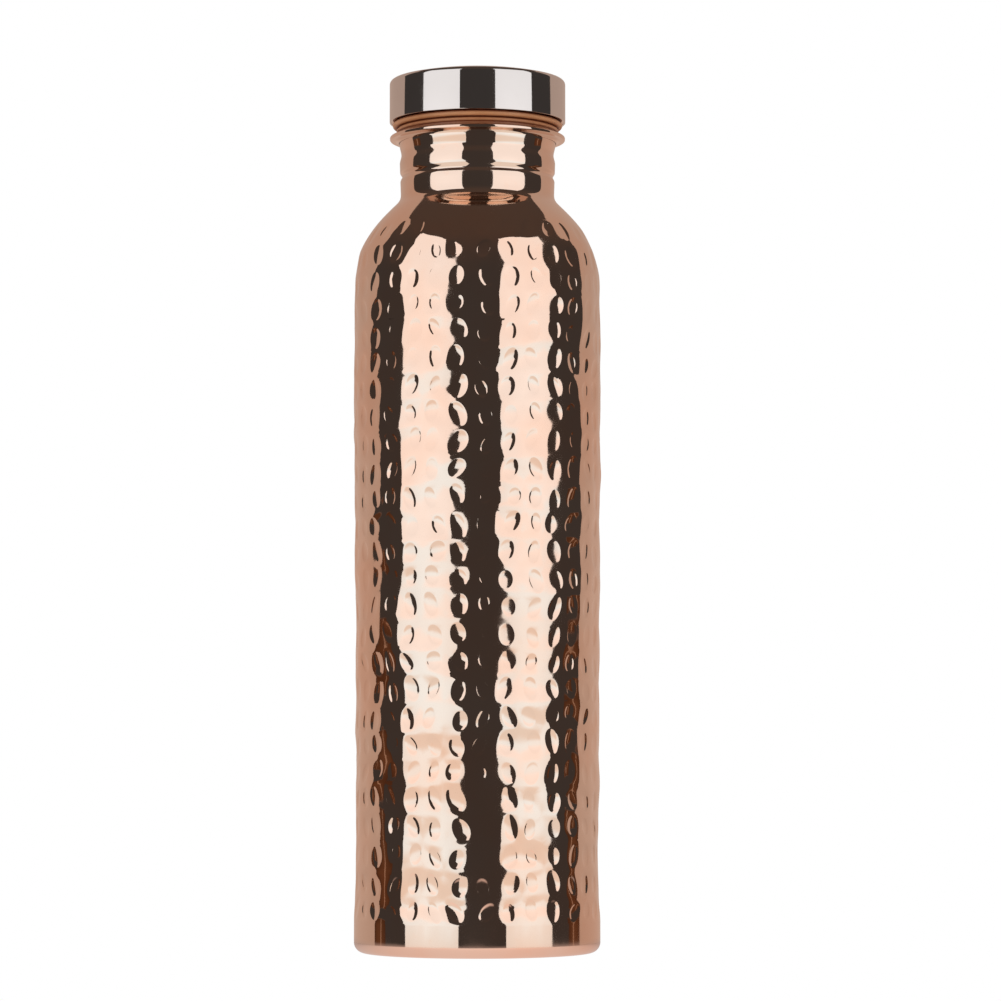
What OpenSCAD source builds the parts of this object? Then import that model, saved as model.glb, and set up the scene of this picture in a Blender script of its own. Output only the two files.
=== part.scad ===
// Hammered copper water bottle with a screw cap.
// +Z is up. The origin is the centre of the standing ring on the floor plane.

/* [Drum] */
// Radius of the hammered drum at its widest, just under the shoulder
drum_r = 35.7; // [34.5:0.1:37]
// Radius of the drum just above the flared foot
drum_low_r = 34.85; // [34.6:0.05:35]
// Height at which the drum starts to curve into the shoulder
shoulder_z = 188; // [184:1:192]
// Thickness of the spun copper sheet
sheet_t = 0.7; // [0.6:0.05:0.8]

/* [Neck] */
// Radius of the neck just above the shoulder fillet
neck_low_r = 22.3; // [22.1:0.05:22.5]
// Radius of the neck just under the flange
neck_top_r = 22.85; // [22.7:0.05:23]
// Height of the corner between shoulder and neck
neck_z = 216.4; // [215:0.1:218]
// Height of the wide waist rolled into the neck
waist_z = 230.7; // [230:0.1:231.5]
// Depth of the wide waist
waist_depth = 0.55; // [0.3:0.05:0.7]
// Height of the narrow groove rolled into the neck
groove_z = 224.3; // [223.5:0.1:225]
// Depth of the narrow groove
groove_depth = 0.6; // [0.2:0.05:0.7]

/* [Foot and base cup] */
// Outside radius of the flared foot
foot_r = 35.4; // [35.3:0.05:35.6]
// Height at which the foot starts to narrow to the drum
foot_h = 9; // [8:0.5:10]
// Outside radius of the bottom corner
foot_corner_r = 3; // [2.8:0.1:3.2]
// Height of the raised centre of the base above the floor
base_dish = 2.4; // [1:0.1:4]

/* [Flange and collar] */
// Outside radius of the neck flange
flange_r = 25.5; // [25:0.05:25.7]
// Height of the flange's underside
flange_z = 235; // [234.8:0.1:235.2]
// Thickness of the flange
flange_t = 1.05; // [0.9:0.05:1.3]
// Inside radius of the mouth
mouth_r = 21.1; // [20.5:0.05:21.2]
// Height of the mouth's lip
lip_z = 249.2; // [248.6:0.1:249.4]

/* [Thread] */
// Rise of the thread in one turn
thread_pitch = 4; // [4:0.1:4.4]
// Number of turns of each thread
thread_turns = 1.35; // [1:0.05:1.35]
// Radial depth by which the two threads overlap
thread_grip = 0.6; // [0.4:0.05:0.7]

/* [Cap] */
// Height of the whole bottle
total_h = 255.6; // [255.4:0.1:256]
// Outside radius of the cap
cap_r = 25.6; // [25.5:0.05:25.8]
// Height of the cap's lower edge when it is screwed down
hem_z = 240.3; // [240.25:0.05:240.5]
// Rise of the domed top above its rounded edge
cap_crown = 3; // [2.5:0.1:3]
// Radius of the rounded edge between the cap's wall and its top
cap_edge_r = 1.2; // [1:0.1:2]
// Thickness of the steel cap shell
cap_t = 0.6; // [0.5:0.05:0.6]

/* [Hidden] */

$fn = 96;
curve_steps = 14;
// Gap that solder or glue fills between two fitted pieces of one body
joint_gap = 0.05;

// Foot of the drum, and the base cup whose skirt stands inside it
foot_narrow_h = 8;
foot_t = 0.6;
drum_low_z = foot_corner_r + 0.15;
skirt_r = foot_r - sheet_t - joint_gap;
skirt_in_r = skirt_r - foot_t;
skirt_top_z = 9;
standing_r = foot_r - foot_corner_r;
standing_w = 2.6;
dish_run = 3;
dish_corner = 0.25;

// Rolled neck: half-heights of the waist and the groove, and the fillet under it
waist_below = 2.5;
waist_above = 3.6;
groove_below = 1.4;
groove_above = 1.3;
shoulder_reach = 1.5;
fillet_top = 2.8;
neck_plain_z = neck_z + 2.2;

// Neck tube above the rolled part of the neck
tube_r = mouth_r + sheet_t;
flange_top_z = flange_z + flange_t;
flange_rim = 0.35;
bead_in_r = neck_top_r + joint_gap;
bead_w = 1.4;
bead_h = 0.9;
collar_in_r = tube_r + joint_gap;
collar_r = 22.85;
lip_r = 0.55;

// Silicone ring above the flange: two round lips with a valley between them
seal_foot_r = 23;
seal_low_r = 23.6;
seal_high_r = 24.7;
seal_low_half = 0.75;
seal_high_half = 0.8;
seal_top_z = hem_z - 0.05;
seal_high_z = seal_top_z - seal_high_half;
seal_low_z = seal_high_z - seal_high_half - seal_low_half - 0.1;

// Cap, from the outside inwards and from the mouth upwards
// Slope of the dome where it meets the rounded edge, and the circle where they meet
dome_slope = atan(2 * cap_crown / (cap_r - cap_edge_r));
dome_r = cap_r - cap_edge_r * (1 - sin(dome_slope));
cap_wall_z = total_h - cap_crown - cap_edge_r * cos(dome_slope);
liner_r = cap_r - cap_t - joint_gap;
liner_t = 0.7;
liner_in_r = liner_r - liner_t;
gasket_t = 1.4;
gasket_gap = 0.05;
gasket_side_gap = 0.4;
gasket_overhang = 1.6;
hem_ease = 0.15;
liner_hem_gap = 0.1;
liner_corner = 0.8;
liner_top_z = lip_z + gasket_t + 2 * gasket_gap;
filler_z = liner_top_z + liner_t;
filler_r = 20;
filler_gap = 0.1;

// Threads: the two ribs share the radial space between collar and liner
rib_clear = (liner_in_r - collar_r - thread_grip) / 2;
male_crest_r = liner_in_r - rib_clear;
female_crest_r = collar_r + rib_clear;
rib_root_w = 1.6;
rib_crest_w = 0.9;
rib_bury = 0.2;
rib_z = 242.4;
rib_segments = 40;
fade_turns = 0.1;
fade_start = 0.02;

copper = [0.86, 0.56, 0.42];
steel = [0.80, 0.79, 0.78];
amber = [0.66, 0.44, 0.28];
cork = [0.80, 0.72, 0.60];

// ---- Outline helpers ------------------------------------------------------------

// Points of an arc in the (radius, height) plane
function arc_points(cx, cz, r, from, to, steps = curve_steps) =
    [for (i = [0:steps]) let (a = from + (to - from) * i / steps) [cx + r * cos(a), cz + r * sin(a)]];

// Points of a cubic curve through p0 and p3 with handles p1 and p2
function curve_points(p0, p1, p2, p3, steps = curve_steps) =
    [for (i = [0:steps]) let (t = i / steps, s = 1 - t)
        s * s * s * p0 + 3 * s * s * t * p1 + 3 * s * t * t * p2 + t * t * t * p3];

// Unit vector from one point to the next
function direction(a, b) = (b - a) / norm(b - a);

// Outline moved inwards by t along its own normals, for the inner face of a sheet
function inset_points(points, t) =
    [for (i = [0:len(points) - 1])
        let (a = points[max(i - 1, 0)], b = points[min(i + 1, len(points) - 1)], d = direction(a, b))
        points[i] + t * [-d[1], d[0]]];

function reversed(points) = [for (i = [len(points) - 1:-1:0]) points[i]];

// Share of a groove's depth at the share t of its half-height: flat at both ends, straight between
function flank(t) =
    let (bend = 0.25, steep = 1 / (1 - bend))
    t >= 1 ? 0 :
    t < bend ? 1 - steep * t * t / (2 * bend) :
    t < 1 - bend ? 1 - steep * (t - bend / 2) :
    steep * (1 - t) * (1 - t) / (2 * bend);

// Depth at height z of a groove with its own half-height each side
function trough(z, centre, below, above, depth) =
    depth * flank(abs(z - centre) / (z < centre ? below : above));

// Radius of the rolled neck at height z
function neck_r(z) =
    let (t = (z - neck_plain_z) / (flange_z - neck_plain_z))
    neck_low_r + (neck_top_r - neck_low_r) * t
        - trough(z, waist_z, waist_below, waist_above, waist_depth)
        - trough(z, groove_z, groove_below, groove_above, groove_depth);

// ---- Bottle ---------------------------------------------------------------------

shoulder_end = [neck_low_r + shoulder_reach, neck_z - 0.5];
// Concave fillet between the shoulder and the neck
fillet_points = curve_points(shoulder_end, [neck_low_r + 0.5, neck_z + 0.5],
                             [neck_low_r, neck_z + 1.3],
                             [neck_r(neck_z + fillet_top), neck_z + fillet_top], 8);
// The shoulder runs from the upright drum to a slope of about 45 degrees
shoulder_points = curve_points([drum_r, shoulder_z], [drum_r + 0.15, shoulder_z + 15],
                               [drum_r - 3.95, neck_z - 8.15], shoulder_end);
// The flared foot narrows to the drum in a soft S
foot_points = curve_points([foot_r, foot_h], [foot_r, foot_h + foot_narrow_h / 2],
                           [drum_low_r, foot_h + foot_narrow_h / 2],
                           [drum_low_r, foot_h + foot_narrow_h], 10);
neck_steps = 36;
neck_from = neck_z + fillet_top + 0.4;
neck_to = flange_z - 0.6;
neck_points = [for (i = [0:neck_steps]) let (z = neck_from + (neck_to - neck_from) * i / neck_steps)
    [neck_r(z), z]];

// Outer face of the spun sheet, from the foot to the underside of the flange
shell_points = concat([[foot_r, drum_low_z]], foot_points, shoulder_points,
                      [for (i = [1:len(fillet_points) - 1]) fillet_points[i]], neck_points);

// Drum, shoulder and neck spun in one piece, with the plain tube that carries flange and collar
module body_shell() {
    inner = inset_points(shell_points, sheet_t);
    tube_out = [[neck_top_r, flange_z], [tube_r, flange_z], [tube_r, lip_z - lip_r]];
    tube_in = [[mouth_r, lip_z - lip_r], [mouth_r, flange_z - 1]];
    color(copper)
        rotate_extrude()
            polygon(concat(shell_points, tube_out, tube_in, reversed(inner)));
}

// Pressed base: its rounded corner carries the drum's edge, and its skirt stands inside the drum
module base_cup() {
    ledge_z = drum_low_z - joint_gap;
    corner = arc_points(standing_r, foot_corner_r, foot_corner_r, -90, 0);
    inner_corner = arc_points(standing_r, foot_corner_r, skirt_in_r - standing_r, 0, -90);
    rise_r = standing_r - standing_w;
    slope_r = rise_r - dish_run;
    color(copper)
        rotate_extrude()
            polygon(concat([[0, base_dish], [slope_r, base_dish], [rise_r, 0]], corner,
                           [[foot_r, ledge_z], [skirt_r, ledge_z], [skirt_r, skirt_top_z],
                            [skirt_in_r, skirt_top_z]],
                           inner_corner,
                           [[rise_r + dish_corner, standing_r + foot_corner_r - skirt_in_r],
                            [slope_r + dish_corner, base_dish + foot_t], [0, base_dish + foot_t]]));
}

// Ring brazed on the neck tube, with rounded rim edges and a bead of braze round the neck under it
module neck_flange() {
    rim_r = flange_r - flange_rim;
    color(copper)
        rotate_extrude()
            polygon(concat([[collar_in_r, flange_z + joint_gap], [bead_in_r, flange_z + joint_gap]],
                           curve_points([bead_in_r, flange_z - bead_h],
                                        [bead_in_r + 0.2, flange_z - 0.25],
                                        [bead_in_r + 0.6, flange_z], [bead_in_r + bead_w, flange_z], 8),
                           arc_points(rim_r, flange_z + flange_rim, flange_rim, -90, 0, 5),
                           arc_points(rim_r, flange_top_z - flange_rim, flange_rim, 0, 90, 5),
                           [[collar_in_r, flange_top_z]]));
}

// Threaded sleeve over the neck tube, with the rounded lip that the gasket closes
module mouth_collar() {
    color(copper) {
        rotate_extrude()
            polygon(concat([[collar_in_r, flange_top_z], [collar_r, flange_top_z], [collar_r, lip_z - lip_r]],
                           arc_points(collar_r - lip_r, lip_z - lip_r, lip_r, 0, 90, 6),
                           arc_points(mouth_r + lip_r, lip_z - lip_r, lip_r, 90, 180, 6),
                           [[collar_in_r, lip_z - lip_r]]));
        thread_rib(collar_r - rib_bury, male_crest_r, 0);
    }
}

// Soft ring with two lips round the foot of the collar; the cap's edge closes on the upper lip
module neck_seal_ring() {
    color(amber)
        rotate_extrude()
            polygon(concat([[collar_r + joint_gap, flange_top_z], [seal_foot_r, flange_top_z]],
                           arc_points(seal_low_r - seal_low_half, seal_low_z, seal_low_half, -70, 80, 8),
                           arc_points(seal_high_r - seal_high_half, seal_high_z, seal_high_half, -80, 90, 10),
                           [[collar_r + joint_gap, seal_top_z]]));
}

// ---- Cap ------------------------------------------------------------------------

// Height of the cap's domed outer face at radius r
function dome_z(r) = total_h - cap_crown * pow(r / dome_r, 2);

// Outer outline of the cap from its lower edge to the middle of the top
cap_points = concat([[cap_r, hem_z + hem_ease], [cap_r, cap_wall_z]],
                    arc_points(cap_r - cap_edge_r, cap_wall_z, cap_edge_r, 8, 90 - dome_slope, 8),
                    [for (i = [11:-1:0]) let (r = dome_r * i / 12) [r, dome_z(r)]]);

// Polished steel cup
module cap_shell() {
    inner = inset_points(cap_points, cap_t);
    color(steel)
        rotate_extrude()
            polygon(concat([[cap_r - cap_t, hem_z], [cap_r - hem_ease, hem_z]], cap_points,
                           [[0, total_h - cap_t]], reversed([for (i = [0:len(inner) - 2]) inner[i]])));
}

// Threaded copper cup that is pressed into the shell
module cap_liner() {
    color(copper) {
        rotate_extrude()
            polygon(concat([[liner_in_r, hem_z + liner_hem_gap], [liner_r, hem_z + liner_hem_gap]],
                           arc_points(liner_r - liner_corner, filler_z - liner_corner, liner_corner,
                                      0, 90, 6),
                           [[0, filler_z], [0, liner_top_z], [liner_in_r, liner_top_z]]));
        thread_rib(liner_in_r + rib_bury, female_crest_r, 180);
    }
}

// Pad between the liner and the dome of the shell
module cap_filler() {
    color(cork)
        rotate_extrude()
            polygon(concat([[0, filler_z], [filler_r, filler_z]],
                           [for (i = [10:-1:0]) let (r = filler_r * i / 10)
                               [r, dome_z(r) - cap_t - filler_gap]]));
}

// Soft washer between the lip and the liner
module cap_gasket() {
    color(amber)
        difference() {
            translate([0, 0, lip_z + gasket_gap])
                cylinder(h = gasket_t, r = liner_in_r - gasket_side_gap);
            translate([0, 0, lip_z - 1])
                cylinder(h = gasket_t + 3, r = mouth_r - gasket_overhang);
        }
}

// ---- Thread ---------------------------------------------------------------------

// Rib on a right-handed helix, from a root buried in its wall to its crest. It starts at
// the angle from_a, and both its ends fade into the wall. Two ribs that start half a turn
// apart lie midway between each other.
module thread_rib(root_r, crest_r, from_a) {
    steps = ceil(thread_turns * rib_segments);
    rings = [for (i = [0:steps])
        let (turn = thread_turns * i / steps,
             fade = min(1, min(turn, thread_turns - turn) / fade_turns + fade_start),
             r = root_r + (crest_r - root_r) * fade,
             w = rib_crest_w + (rib_root_w - rib_crest_w) * (1 - fade),
             z = rib_z + thread_pitch * turn,
             a = from_a + 360 * turn)
        [[root_r, z - rib_root_w / 2, a], [r, z - w / 2, a],
         [r, z + w / 2, a], [root_r, z + rib_root_w / 2, a]]];
    points = [for (ring = rings, p = ring) [p[0] * cos(p[2]), p[0] * sin(p[2]), p[1]]];
    sides = [for (i = [0:steps - 1], k = [0:3])
        let (a = 4 * i + k, b = 4 * i + (k + 1) % 4) [a, b, b + 4, a + 4]];
    flip = crest_r < root_r;
    faces = concat([[3, 2, 1, 0]], sides, [[for (k = [0:3]) 4 * steps + k]]);
    polyhedron(points, flip ? [for (f = faces) reversed(f)] : faces);
}

body_shell();
base_cup();
neck_flange();
mouth_collar();
neck_seal_ring();
cap_shell();
cap_liner();
cap_filler();
cap_gasket();
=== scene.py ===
"""Looks of a hammered copper water bottle with a screw cap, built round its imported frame."""

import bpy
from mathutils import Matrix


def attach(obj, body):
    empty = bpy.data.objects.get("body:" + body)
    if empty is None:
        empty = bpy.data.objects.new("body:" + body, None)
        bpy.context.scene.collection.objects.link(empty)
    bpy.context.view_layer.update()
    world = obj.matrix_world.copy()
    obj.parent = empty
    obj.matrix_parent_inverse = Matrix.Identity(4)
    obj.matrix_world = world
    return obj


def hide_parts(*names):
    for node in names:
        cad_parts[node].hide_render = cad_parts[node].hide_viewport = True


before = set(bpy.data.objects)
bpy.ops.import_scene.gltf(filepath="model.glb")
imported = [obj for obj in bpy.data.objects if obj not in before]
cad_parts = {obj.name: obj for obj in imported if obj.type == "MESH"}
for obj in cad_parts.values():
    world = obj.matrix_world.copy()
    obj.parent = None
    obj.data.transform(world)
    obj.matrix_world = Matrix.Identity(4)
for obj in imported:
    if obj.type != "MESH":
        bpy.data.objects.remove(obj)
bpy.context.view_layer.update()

import logging
import math
from dataclasses import dataclass, field
from enum import Enum
from typing import Any

import bpy
import numpy as np

MM = 0.001
SHARP_EDGE = math.radians(34)
FULL_TURN = 2 * math.pi
# Radius in mm under which a point counts as on the bottle's axis
ON_AXIS = 1e-6
# Share of its full section that a thread rib has at its very end
RIB_END = 0.02
# Distance in metres within which the hammered and the plain part of the sheet are joined
SEAM_GAP = 2e-6
# Added under a square root, so that a cell's middle isn't divided by zero
TINY_AREA = 1e-12
# Added before a floor, so that rounding can't put a cell's first points in the cell before
CELL_NUDGE = 1e-4
# Heights in mm of the neck's outline, which are closest where the rolled grooves turn
NECK_HEIGHTS = (
    [219.8, 221.6, 222.9, 223.25, 223.65, 224.0, 224.3, 224.65, 225.0, 225.35, 225.65]
    + [227.2, 228.3, 228.9, 229.5, 230.1, 230.7, 231.4, 232.1, 232.8, 233.5, 234.4]
)

Point = tuple[float, float]
Range = tuple[float, float]
Colour = tuple[float, float, float]

log = logging.getLogger("copper_bottle")


# ---- Node trees -----------------------------------------------------------------


class Field:
    """A node's output that can be used in arithmetic."""

    def __init__(self, graph: "Graph", socket: bpy.types.NodeSocket) -> None:
        """Wraps one output socket of a graph.

        Args:
            graph: The graph that the socket's node belongs to.
            socket: The output socket.
        """
        self.graph = graph
        self.socket = socket

    def math(self, operation: str, *others: Any) -> "Field":
        """Adds a Math node on this value.

        Args:
            operation: The Math node's operation.
            others: Its second and third values, fields or numbers.

        Returns:
            The node's value.
        """
        return self.graph.maths(operation, self, *others)

    def __add__(self, other: Any) -> "Field":
        """Sum."""
        return self.math("ADD", other)

    def __radd__(self, other: Any) -> "Field":
        """Sum with a number on the left."""
        return self.graph.maths("ADD", other, self)

    def __sub__(self, other: Any) -> "Field":
        """Difference."""
        return self.math("SUBTRACT", other)

    def __rsub__(self, other: Any) -> "Field":
        """Difference with a number on the left."""
        return self.graph.maths("SUBTRACT", other, self)

    def __mul__(self, other: Any) -> "Field":
        """Product."""
        return self.math("MULTIPLY", other)

    def __rmul__(self, other: Any) -> "Field":
        """Product with a number on the left."""
        return self.graph.maths("MULTIPLY", other, self)

    def __truediv__(self, other: Any) -> "Field":
        """Quotient."""
        return self.math("DIVIDE", other)

    def __rtruediv__(self, other: Any) -> "Field":
        """Quotient with a number on the left."""
        return self.graph.maths("DIVIDE", other, self)

    def __pow__(self, other: Any) -> "Field":
        """Power."""
        return self.math("POWER", other)

    def __neg__(self) -> "Field":
        """The value with its sign turned."""
        return self.math("MULTIPLY", -1.0)

    def __abs__(self) -> "Field":
        """The value without its sign."""
        return self.math("ABSOLUTE")

    def smooth(self, low: float, high: float) -> "Field":
        """Rises smoothly from 0 at low to 1 at high.

        Args:
            low: Value that gives 0.
            high: Value that gives 1.

        Returns:
            The share between 0 and 1.
        """
        made = self.graph.add(
            "ShaderNodeMapRange",
            {"interpolation_type": "SMOOTHSTEP"},
            {"Value": self, "From Min": low, "From Max": high},
        )
        return made["Result"]


class Made:
    """A node that was added to a graph, whose outputs are read by name."""

    def __init__(self, graph: "Graph", node: bpy.types.Node) -> None:
        """Wraps one node.

        Args:
            graph: The graph that the node belongs to.
            node: The node.
        """
        self.graph = graph
        self.node = node

    def __getitem__(self, name: str) -> Field:
        """The enabled output of that name."""
        found = [s for s in self.node.outputs if s.name == name and s.enabled]
        return Field(self.graph, found[0])


class Graph:
    """Builds one shader or geometry node tree."""

    def __init__(self, tree: bpy.types.NodeTree) -> None:
        """Starts on an empty tree.

        Args:
            tree: The tree that nodes are added to.
        """
        self.tree = tree
        tree.nodes.clear()

    def add(
        self,
        kind: str,
        settings: dict[str, Any] | None = None,
        sockets: dict[str, Any] | None = None,
    ) -> Made:
        """Adds a node.

        Args:
            kind: The node's type.
            settings: Its properties, which are set first.
            sockets: Values or fields for its inputs, by name, or by name and place as "B:1".

        Returns:
            The node.
        """
        node = self.tree.nodes.new(kind)
        for name, value in (settings or {}).items():
            setattr(node, name, value)
        for name, value in (sockets or {}).items():
            self._feed(node, name, value)
        return Made(self, node)

    def _feed(self, node: bpy.types.Node, name: str, value: Any) -> None:
        """Sets or links one input.

        Args:
            node: The node.
            name: The input's name, with ":1" for the second of that name.
            value: A field, a list of fields, or a plain value.
        """
        title, _, place = name.partition(":")
        found = [s for s in node.inputs if s.name == title and s.enabled]
        socket = found[int(place or 0)]
        if isinstance(value, list):
            for one in value:
                self.tree.links.new(one.socket, socket)
        elif isinstance(value, Field):
            self.tree.links.new(value.socket, socket)
        elif socket.type == "RGBA" and len(value) == 3:
            socket.default_value = (*value, 1.0)
        else:
            socket.default_value = value

    def maths(self, operation: str, *values: Any) -> Field:
        """Adds a Math node.

        Args:
            operation: The node's operation.
            values: One to three fields or numbers.

        Returns:
            Its value.
        """
        node = self.tree.nodes.new("ShaderNodeMath")
        node.operation = operation
        for socket, value in zip(node.inputs, values):
            if isinstance(value, Field):
                self.tree.links.new(value.socket, socket)
            else:
                socket.default_value = value
        return Field(self, node.outputs[0])

    def blend(self, share: Any, first: Any, second: Any) -> Field:
        """Mixes two colours.

        Args:
            share: Share of the second one.
            first: Colour or field.
            second: Colour or field.

        Returns:
            The mixed colour.
        """
        made = self.add(
            "ShaderNodeMix",
            {"data_type": "RGBA"},
            {"Factor": share, "A": first, "B": second},
        )
        return made["Result"]

    def noise(self, place: Any, scale: float, detail: float = 2.0, roughness: float = 0.5) -> Field:
        """Adds a noise texture.

        Args:
            place: The vector that it reads.
            scale: Its scale.
            detail: Number of finer layers.
            roughness: Strength of the finer layers.

        Returns:
            Its value, about 0.5 on average.
        """
        made = self.add(
            "ShaderNodeTexNoise",
            {},
            {"Vector": place, "Scale": scale, "Detail": detail, "Roughness": roughness},
        )
        return Field(self, made.node.outputs[0])

    def stretched(self, place: Any, scale: Colour) -> Field:
        """A vector scaled on each axis.

        Args:
            place: The vector.
            scale: Factor on each axis.

        Returns:
            The scaled vector.
        """
        made = self.add(
            "ShaderNodeVectorMath", {"operation": "MULTIPLY"}, {"Vector": place, "Vector:1": scale}
        )
        return made["Vector"]

    def vector(self, x: Any, y: Any, z: Any) -> Field:
        """A vector from three values."""
        return self.add("ShaderNodeCombineXYZ", {}, {"X": x, "Y": y, "Z": z})["Vector"]

    def split(self, vector: Field) -> Made:
        """A vector's three values, by the names X, Y and Z."""
        return self.add("ShaderNodeSeparateXYZ", {}, {"Vector": vector})

    def place(self) -> Field:
        """The shaded point on its own object, in metres."""
        return self.add("ShaderNodeTexCoord")["Object"]

    def emission(self, colour: Any, strength: Any) -> Field:
        """Plain light of a colour and a strength."""
        sockets = {"Color": colour, "Strength": strength}
        return self.add("ShaderNodeEmission", {}, sockets)["Emission"]

    def mixed(self, share: Field, first: Field, second: Field) -> Field:
        """Two shaders mixed by the share of the second one."""
        sockets = {"Fac": share, "Shader": first, "Shader:1": second}
        return self.add("ShaderNodeMixShader", {}, sockets)["Shader"]

    def surface(self, shader: Field) -> None:
        """Ends a material's tree in a shader."""
        self.add("ShaderNodeOutputMaterial", {}, {"Surface": shader})

    def finish(self, relief: Field, sockets: dict[str, Any]) -> None:
        """Ends a material's tree in the principled shader over a relief.

        Args:
            relief: Height of the surface's grain in metres.
            sockets: Values or fields for the shader's other inputs.
        """
        bump = {"Strength": 1.0, "Distance": 1.0, "Height": relief}
        normal = self.add("ShaderNodeBump", {}, bump)["Normal"]
        shader = self.add("ShaderNodeBsdfPrincipled", {}, {**sockets, "Normal": normal})
        self.surface(shader["BSDF"])


# ---- Finishes -------------------------------------------------------------------


class Lay(Enum):
    """Direction in which a metal surface was polished."""

    HAND = "hand"
    LATHE = "lathe"


def new_material(name: str) -> tuple[bpy.types.Material, Graph]:
    """Makes an empty node material.

    Args:
        name: The material's name.

    Returns:
        The material and the graph of its nodes.
    """
    material = bpy.data.materials.new(name)
    material.use_nodes = True
    return material, Graph(material.node_tree)


@dataclass(frozen=True)
class Mottle:
    """Patches of a noise, which rise from 0 to 1 between two of its values."""

    scale: float
    detail: float
    low: float
    high: float
    roughness: float = 0.5

    def over(self, g: Graph, place: Field) -> Field:
        """Share of the patches at each point."""
        return g.noise(place, self.scale, self.detail, self.roughness).smooth(self.low, self.high)


@dataclass(frozen=True)
class MetalFinish:
    """Polished metal with faint tint clouds, smears and polishing marks."""

    name: str
    colour: Colour
    deep_colour: Colour
    lay: Lay
    smooth_roughness: float = 0.03
    smear_roughness: float = 0.09
    wave_height: float = 1.2e-6
    wave_scale: float = 520.0
    mark_height: float = 0.25e-6
    clouds: Mottle = Mottle(38.0, 3.0, 0.34, 0.7)
    cloud_tint: float = 0.7
    specks: Mottle = Mottle(420.0, 2.0, 0.6, 0.78)
    speck_tint: float = 0.2
    smears: Mottle = Mottle(95.0, 3.0, 0.42, 0.72, 0.6)
    smear_stretch: Colour = (1.0, 1.0, 0.35)

    def material(self) -> bpy.types.Material:
        """Builds the material.

        Returns:
            The material.
        """
        material, g = new_material(self.name)
        place = g.place()
        cloud = self.clouds.over(g, place)
        speck = self.specks.over(g, place)
        deep = cloud * self.cloud_tint + speck * self.speck_tint
        smear = self.smears.over(g, g.stretched(place, self.smear_stretch))
        span = self.smear_roughness - self.smooth_roughness
        wave = g.noise(place, self.wave_scale, 1.0)
        marks = g.noise(g.stretched(place, self._stretch()), 1.0, 2.0, 0.7)
        sockets = {
            "Base Color": g.blend(deep, self.colour, self.deep_colour),
            "Metallic": 1.0,
            "Roughness": smear * span + self.smooth_roughness,
        }
        g.finish(wave * self.wave_height + marks * self.mark_height, sockets)
        return material

    def _stretch(self) -> Colour:
        """Scale of the polishing marks: fine rings from a lathe, short strokes by hand."""
        return (60.0, 60.0, 5200.0) if self.lay is Lay.LATHE else (2400.0, 2400.0, 260.0)


@dataclass(frozen=True)
class SiliconeFinish:
    """Translucent-looking moulded silicone with a satin skin and painted shade in its grooves."""

    name: str
    colour: Colour
    deep_colour: Colour
    # Painted shade: colour, occlusion distance and occlusion range of the darkening painted into
    # the grooves
    painted_groove_shade_colour: Colour = (0.24, 0.055, 0.018)
    painted_groove_shade_reach: float = 0.0022
    painted_groove_shade_range: Range = (0.4, 0.97)
    roughness: float = 0.33
    cloud_roughness: float = 0.1
    dust_roughness: float = 0.15
    grain_height: float = 6e-6
    grain_scale: float = 2600.0
    clouds: Mottle = Mottle(120.0, 3.0, 0.3, 0.7)
    cloud_tint: float = 0.6
    dust: Mottle = Mottle(900.0, 2.0, 0.62, 0.8)
    dust_tint: float = 0.25
    ior: float = 1.43

    def material(self) -> bpy.types.Material:
        """Builds the material.

        Returns:
            The material.
        """
        material, g = new_material(self.name)
        place = g.place()
        cloud = self.clouds.over(g, place)
        grain = g.noise(place, self.grain_scale, 2.0)
        dust = self.dust.over(g, place)
        deep = cloud * self.cloud_tint + dust * self.dust_tint
        tint = g.blend(deep, self.colour, self.deep_colour)
        # Painted shade: ambient occlusion turns the base colour deep brown in the grooves between
        # the lips and under the cap
        reach = {"Distance": self.painted_groove_shade_reach}
        occlusion_for_painted_shade = g.add("ShaderNodeAmbientOcclusion", {"samples": 8}, reach)["AO"]
        satin = cloud * self.cloud_roughness + dust * self.dust_roughness + self.roughness
        sockets = {
            "Base Color": g.blend(occlusion_for_painted_shade.smooth(*self.painted_groove_shade_range), self.painted_groove_shade_colour, tint),
            "Roughness": satin,
            "IOR": self.ior,
        }
        g.finish(grain * self.grain_height, sockets)
        return material


@dataclass(frozen=True)
class PadFinish:
    """Pressed fibre pad with a speckled grain."""

    name: str
    colour: Colour
    deep_colour: Colour
    grain_scale: float = 900.0
    grain_height: float = 8e-5
    grain_dark: Range = (0.1, 0.7)
    cloud_scale: float = 260.0
    cloud_roughness: float = 0.2
    roughness: float = 0.7

    def material(self) -> bpy.types.Material:
        """Builds the material.

        Returns:
            The material.
        """
        material, g = new_material(self.name)
        place = g.place()
        cells = {"Vector": place, "Scale": self.grain_scale}
        grain = g.add("ShaderNodeTexVoronoi", {}, cells)["Distance"]
        cloud = g.noise(place, self.cloud_scale, 4.0)
        deep = grain.smooth(*self.grain_dark) * cloud
        sockets = {
            "Base Color": g.blend(deep, self.colour, self.deep_colour),
            "Roughness": cloud * self.cloud_roughness + self.roughness,
        }
        g.finish(grain * self.grain_height, sockets)
        return material


COPPER: Colour = (0.865, 0.68, 0.565)
COPPER_DEEP: Colour = (0.91, 0.60, 0.45)
HAMMERED_COPPER = MetalFinish("hammered_copper", COPPER, COPPER_DEEP, Lay.HAND)
TURNED_COPPER = MetalFinish(
    "turned_copper", COPPER, COPPER_DEEP, Lay.LATHE, wave_height=0.5e-6
)
POLISHED_STEEL = MetalFinish(
    "polished_steel", (0.735, 0.70, 0.68), (0.70, 0.66, 0.635), Lay.LATHE, wave_height=0.35e-6
)
AMBER_SILICONE = SiliconeFinish("amber_silicone", (0.88, 0.42, 0.20), (0.70, 0.30, 0.13))
FILLER_PAD = PadFinish("filler_pad", (0.62, 0.50, 0.36), (0.42, 0.31, 0.20))


# ---- Outlines -------------------------------------------------------------------


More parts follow.
